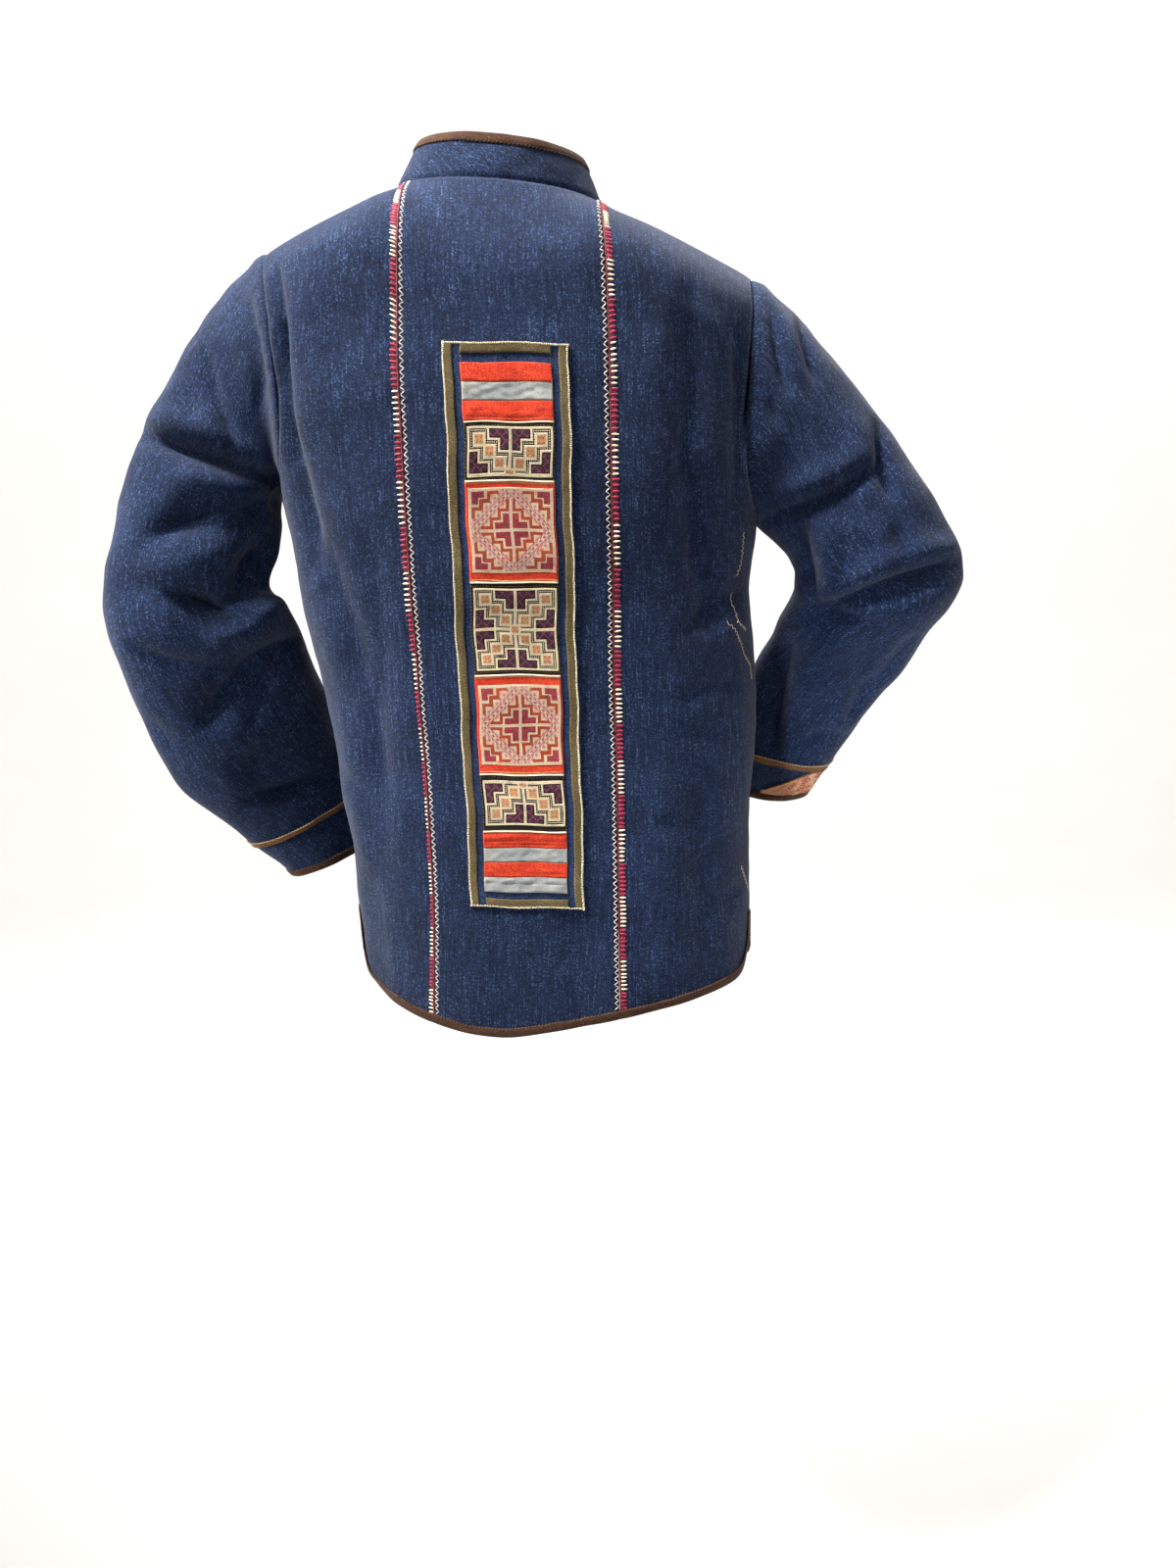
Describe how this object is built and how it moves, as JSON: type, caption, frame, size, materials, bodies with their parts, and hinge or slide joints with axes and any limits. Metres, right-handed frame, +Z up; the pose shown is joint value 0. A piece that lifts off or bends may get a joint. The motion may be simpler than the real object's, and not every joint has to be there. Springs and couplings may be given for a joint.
{
  "type": "hmong embroidered jacket",
  "caption": "Indigo hemp jacket with a stand collar, stitched back seams, bound edges and an upright embroidered panel down the back, worn with bent sleeves.",
  "frame": {"origin": "middle of the neck opening at the height of the collar seam at the back", "axes": "+X the wearer's right, +Y the way the wearer faces, +Z up"},
  "size_m": [0.7429, 0.2814, 0.731],
  "materials": {
    "back_left": "matt indigo hemp, plain hand weave",
    "back_middle": "matt indigo hemp, plain hand weave",
    "back_right": "matt indigo hemp, plain hand weave",
    "border_bottom": "matt olive cotton strip",
    "border_left": "matt olive cotton strip",
    "border_right": "matt olive cotton strip",
    "border_top": "matt olive cotton strip",
    "collar": "matt indigo hemp, plain hand weave",
    "collar_binding": "matt brown cotton bias strip",
    "cuff_binding_left": "matt brown cotton bias strip",
    "cuff_binding_right": "matt brown cotton bias strip",
    "cuff_left": "matt indigo hemp, plain hand weave",
    "cuff_line_left": "matt brown cotton bias strip",
    "cuff_line_right": "matt brown cotton bias strip",
    "cuff_patch_left": "matt embroidered cotton",
    "cuff_patch_right": "matt embroidered cotton",
    "cuff_right": "matt indigo hemp, plain hand weave",
    "edge_binding_left": "matt brown cotton bias strip",
    "edge_binding_right": "matt brown cotton bias strip",
    "front_left": "matt indigo hemp, plain hand weave",
    "front_right": "matt indigo hemp, plain hand weave",
    "hem_binding_back": "matt brown cotton bias strip",
    "panel_ground": "matt dark blue cotton",
    "patch_black_bottom": "matt black cotton, cross-stitched",
    "patch_black_middle": "matt black cotton, cross-stitched",
    "patch_black_top": "matt black cotton, cross-stitched",
    "patch_orange_bottom": "matt orange-red cotton",
    "patch_orange_top": "matt orange-red cotton",
    "side_left": "matt indigo hemp, plain hand weave",
    "side_right": "matt indigo hemp, plain hand weave",
    "sleeve_left": "matt indigo hemp, plain hand weave",
    "sleeve_right": "matt indigo hemp, plain hand weave",
    "stripe_grey_1": "matt pale blue-grey cotton",
    "stripe_grey_2": "matt pale blue-grey cotton",
    "stripe_grey_3": "matt pale blue-grey cotton",
    "stripe_orange_1": "matt orange-red cotton",
    "stripe_orange_2": "matt orange-red cotton",
    "stripe_orange_3": "matt orange-red cotton",
    "stripe_orange_4": "matt orange-red cotton"
  },
  "bodies": {
    "root": {"back_left": "back_left", "back_middle": "back_middle", "back_right": "back_right", "border_bottom": "border_bottom", "border_left": "border_left", "border_right": "border_right", "border_top": "border_top", "collar": "collar", "collar_binding": "collar_binding", "cuff_binding_left": "cuff_binding_left", "cuff_binding_right": "cuff_binding_right", "cuff_left": "cuff_left", "cuff_line_left": "cuff_line_left", "cuff_line_right": "cuff_line_right", "cuff_patch_left": "cuff_patch_left", "cuff_patch_right": "cuff_patch_right", "cuff_right": "cuff_right", "edge_binding_left": "edge_binding_left", "edge_binding_right": "edge_binding_right", "front_left": "front_left", "front_right": "front_right", "hem_binding_back": "hem_binding_back", "panel_ground": "panel_ground", "patch_black_bottom": "patch_black_bottom", "patch_black_middle": "patch_black_middle", "patch_black_top": "patch_black_top", "patch_orange_bottom": "patch_orange_bottom", "patch_orange_top": "patch_orange_top", "side_left": "side_left", "side_right": "side_right", "sleeve_left": "sleeve_left", "sleeve_right": "sleeve_right", "stripe_grey_1": "stripe_grey_1", "stripe_grey_2": "stripe_grey_2", "stripe_grey_3": "stripe_grey_3", "stripe_orange_1": "stripe_orange_1", "stripe_orange_2": "stripe_orange_2", "stripe_orange_3": "stripe_orange_3", "stripe_orange_4": "stripe_orange_4"}
  },
  "joints": []
}
